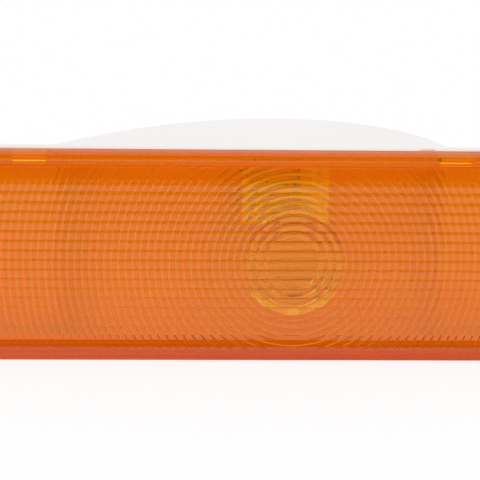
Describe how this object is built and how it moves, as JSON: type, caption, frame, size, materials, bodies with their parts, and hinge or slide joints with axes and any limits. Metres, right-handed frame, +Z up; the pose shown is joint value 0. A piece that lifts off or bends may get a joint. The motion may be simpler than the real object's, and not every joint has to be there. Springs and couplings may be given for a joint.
{
  "type": "parking light",
  "caption": "Wide amber front parking and turn lamp: fluted lens with prism rings on a pale curved housing, bayonet bulb in a twist-in socket with connector recess.",
  "frame": {"origin": "midway between the two fixing holes, on the back face of the ears", "axes": "lens faces -Y, +X along the lamp's width, +Z up, screws point along Y"},
  "size_m": [0.2642, 0.1095, 0.0734],
  "materials": {
    "lens_amber": "clear amber moulding, glossy",
    "seal_rubber": "soft pale grey seal",
    "housing_plastic": "pale grey moulding, fine grain",
    "reflector_bright": "white satin moulded liner",
    "screw_steel": "zinc plated",
    "bulb_glass": "clear blown glass",
    "stem_glass": "clear pressed glass",
    "wire_steel": "drawn wire",
    "tungsten": "dark coiled wire",
    "base_brass": "drawn brass",
    "insulator_black": "black glass, glossy",
    "solder": "dull solder",
    "socket_plastic": "pale moulding, fine grain",
    "sleeve_steel": "tinned sheet",
    "carrier_board": "brown laminated board",
    "contact_brass": "bright stamped brass"
  },
  "bodies": {
    "root": {"lens": "lens_amber", "lens_seal": "seal_rubber", "housing": "housing_plastic", "reflector": "reflector_bright", "reflector_screws": "screw_steel", "bulb_glass": "bulb_glass", "bulb_stem": "stem_glass", "filament_posts": "wire_steel", "filament_turn": "tungsten", "filament_park": "tungsten", "bulb_base": "base_brass", "bulb_pins": "base_brass", "bulb_insulator": "insulator_black", "bulb_contacts": "solder", "socket_body": "socket_plastic", "socket_gasket": "seal_rubber", "bayonet_sleeve": "sleeve_steel", "contact_carrier": "carrier_board", "contact_buttons": "contact_brass", "contact_spring": "wire_steel", "contact_leads": "contact_brass", "terminal_blades": "contact_brass", "ground_strap": "sleeve_steel"}
  },
  "joints": []
}
